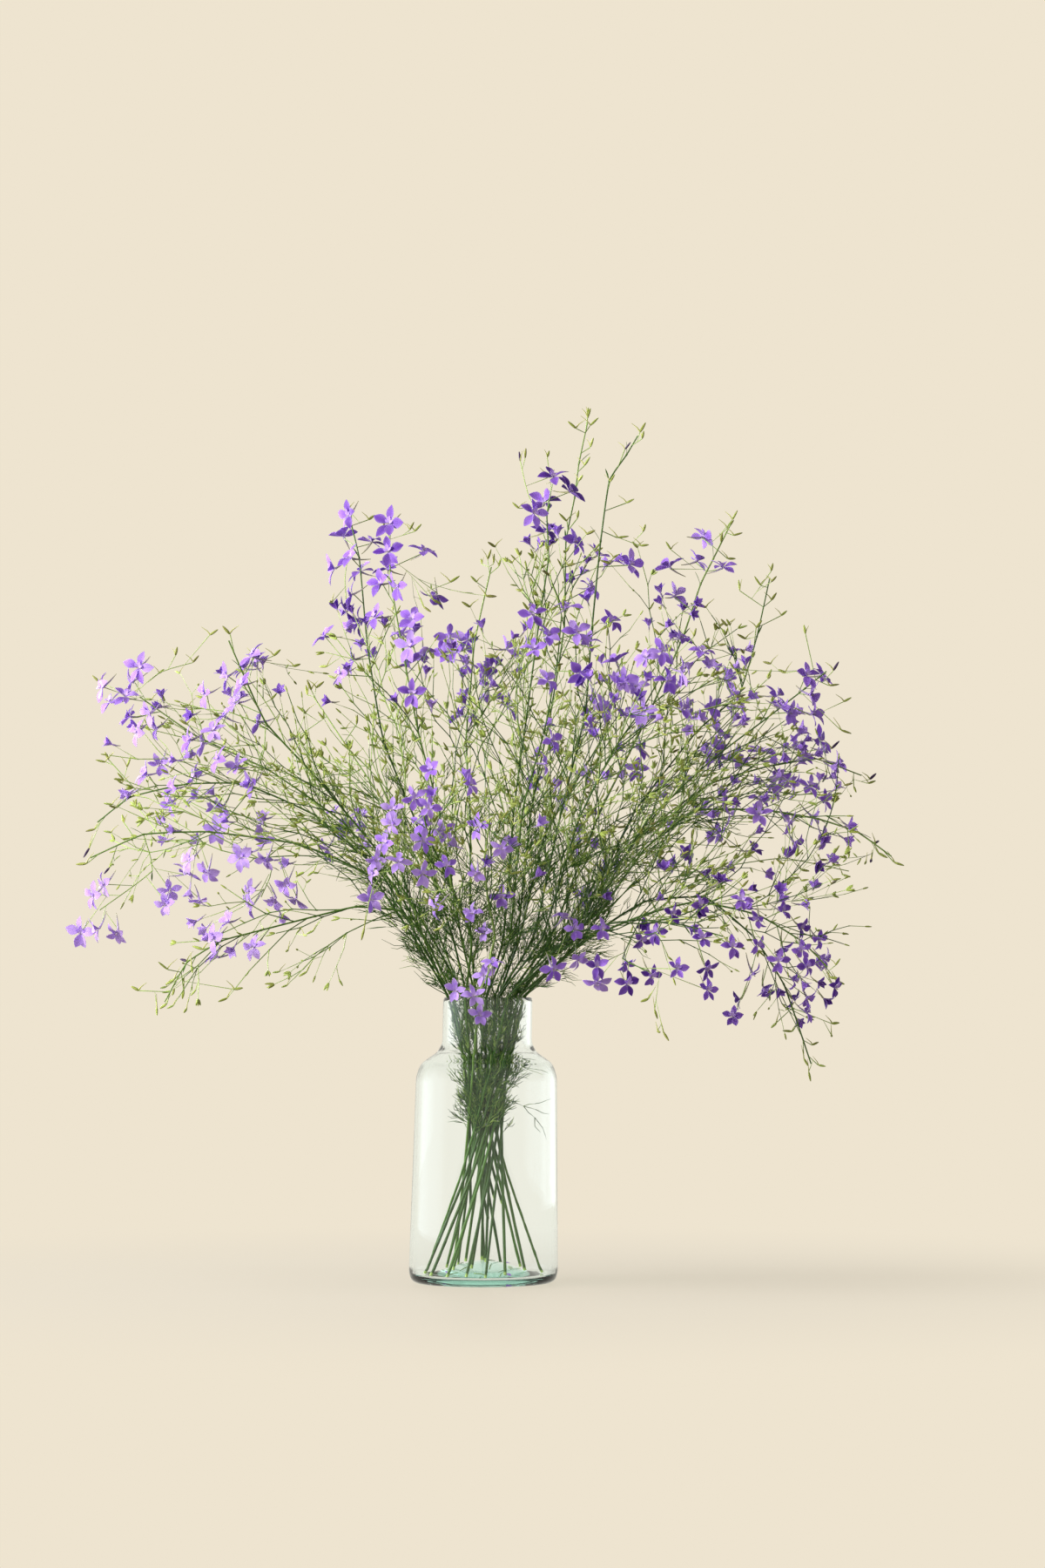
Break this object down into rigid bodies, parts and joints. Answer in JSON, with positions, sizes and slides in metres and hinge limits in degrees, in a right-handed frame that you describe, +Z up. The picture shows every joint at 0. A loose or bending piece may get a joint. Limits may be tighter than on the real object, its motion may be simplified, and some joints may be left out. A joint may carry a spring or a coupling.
{
  "type": "larkspur bouquet in glass vase",
  "caption": "Loose airy bunch of forking larkspur: wiry green stems with small violet spurred blooms and buds, standing in a clear glass bottle vase.",
  "frame": {"origin": "centre of the vase's flat underside, on the surface it stands on", "axes": "+Z up, +X to the viewer's right, -Y towards the viewer"},
  "size_m": [0.7284, 0.4368, 0.7705],
  "materials": {
    "glass": "clear blown glass, faintly green where thick",
    "plant": "living stems, leaves and petals, matt",
    "stem": "green stems, twigs and thread leaves, soft sheen",
    "petal": "violet sepals and spurs, matt and thin",
    "bud": "olive buds and seed cases, matt"
  },
  "bodies": {
    "root": {"vase": "glass", "stem_01": "plant", "stem_02": "plant", "stem_03": "plant", "stem_04": "plant", "stem_05": "plant", "stem_06": "plant", "stem_07": "plant", "stem_08": "plant", "stem_09": "plant", "stem_10": "plant", "stem_11": "plant", "stem_12": "plant", "stem_13": "plant", "stem_14": "plant", "stem_15": "plant", "stem_16": "plant", "stem_17": "plant", "stem_18": "plant", "stem_19": "plant", "stem_20": "plant", "stem_21": "plant", "stem_22": "plant", "stem_23": "plant", "stem_24": "plant", "stem_25": "plant", "stem_26": "plant"}
  },
  "joints": []
}
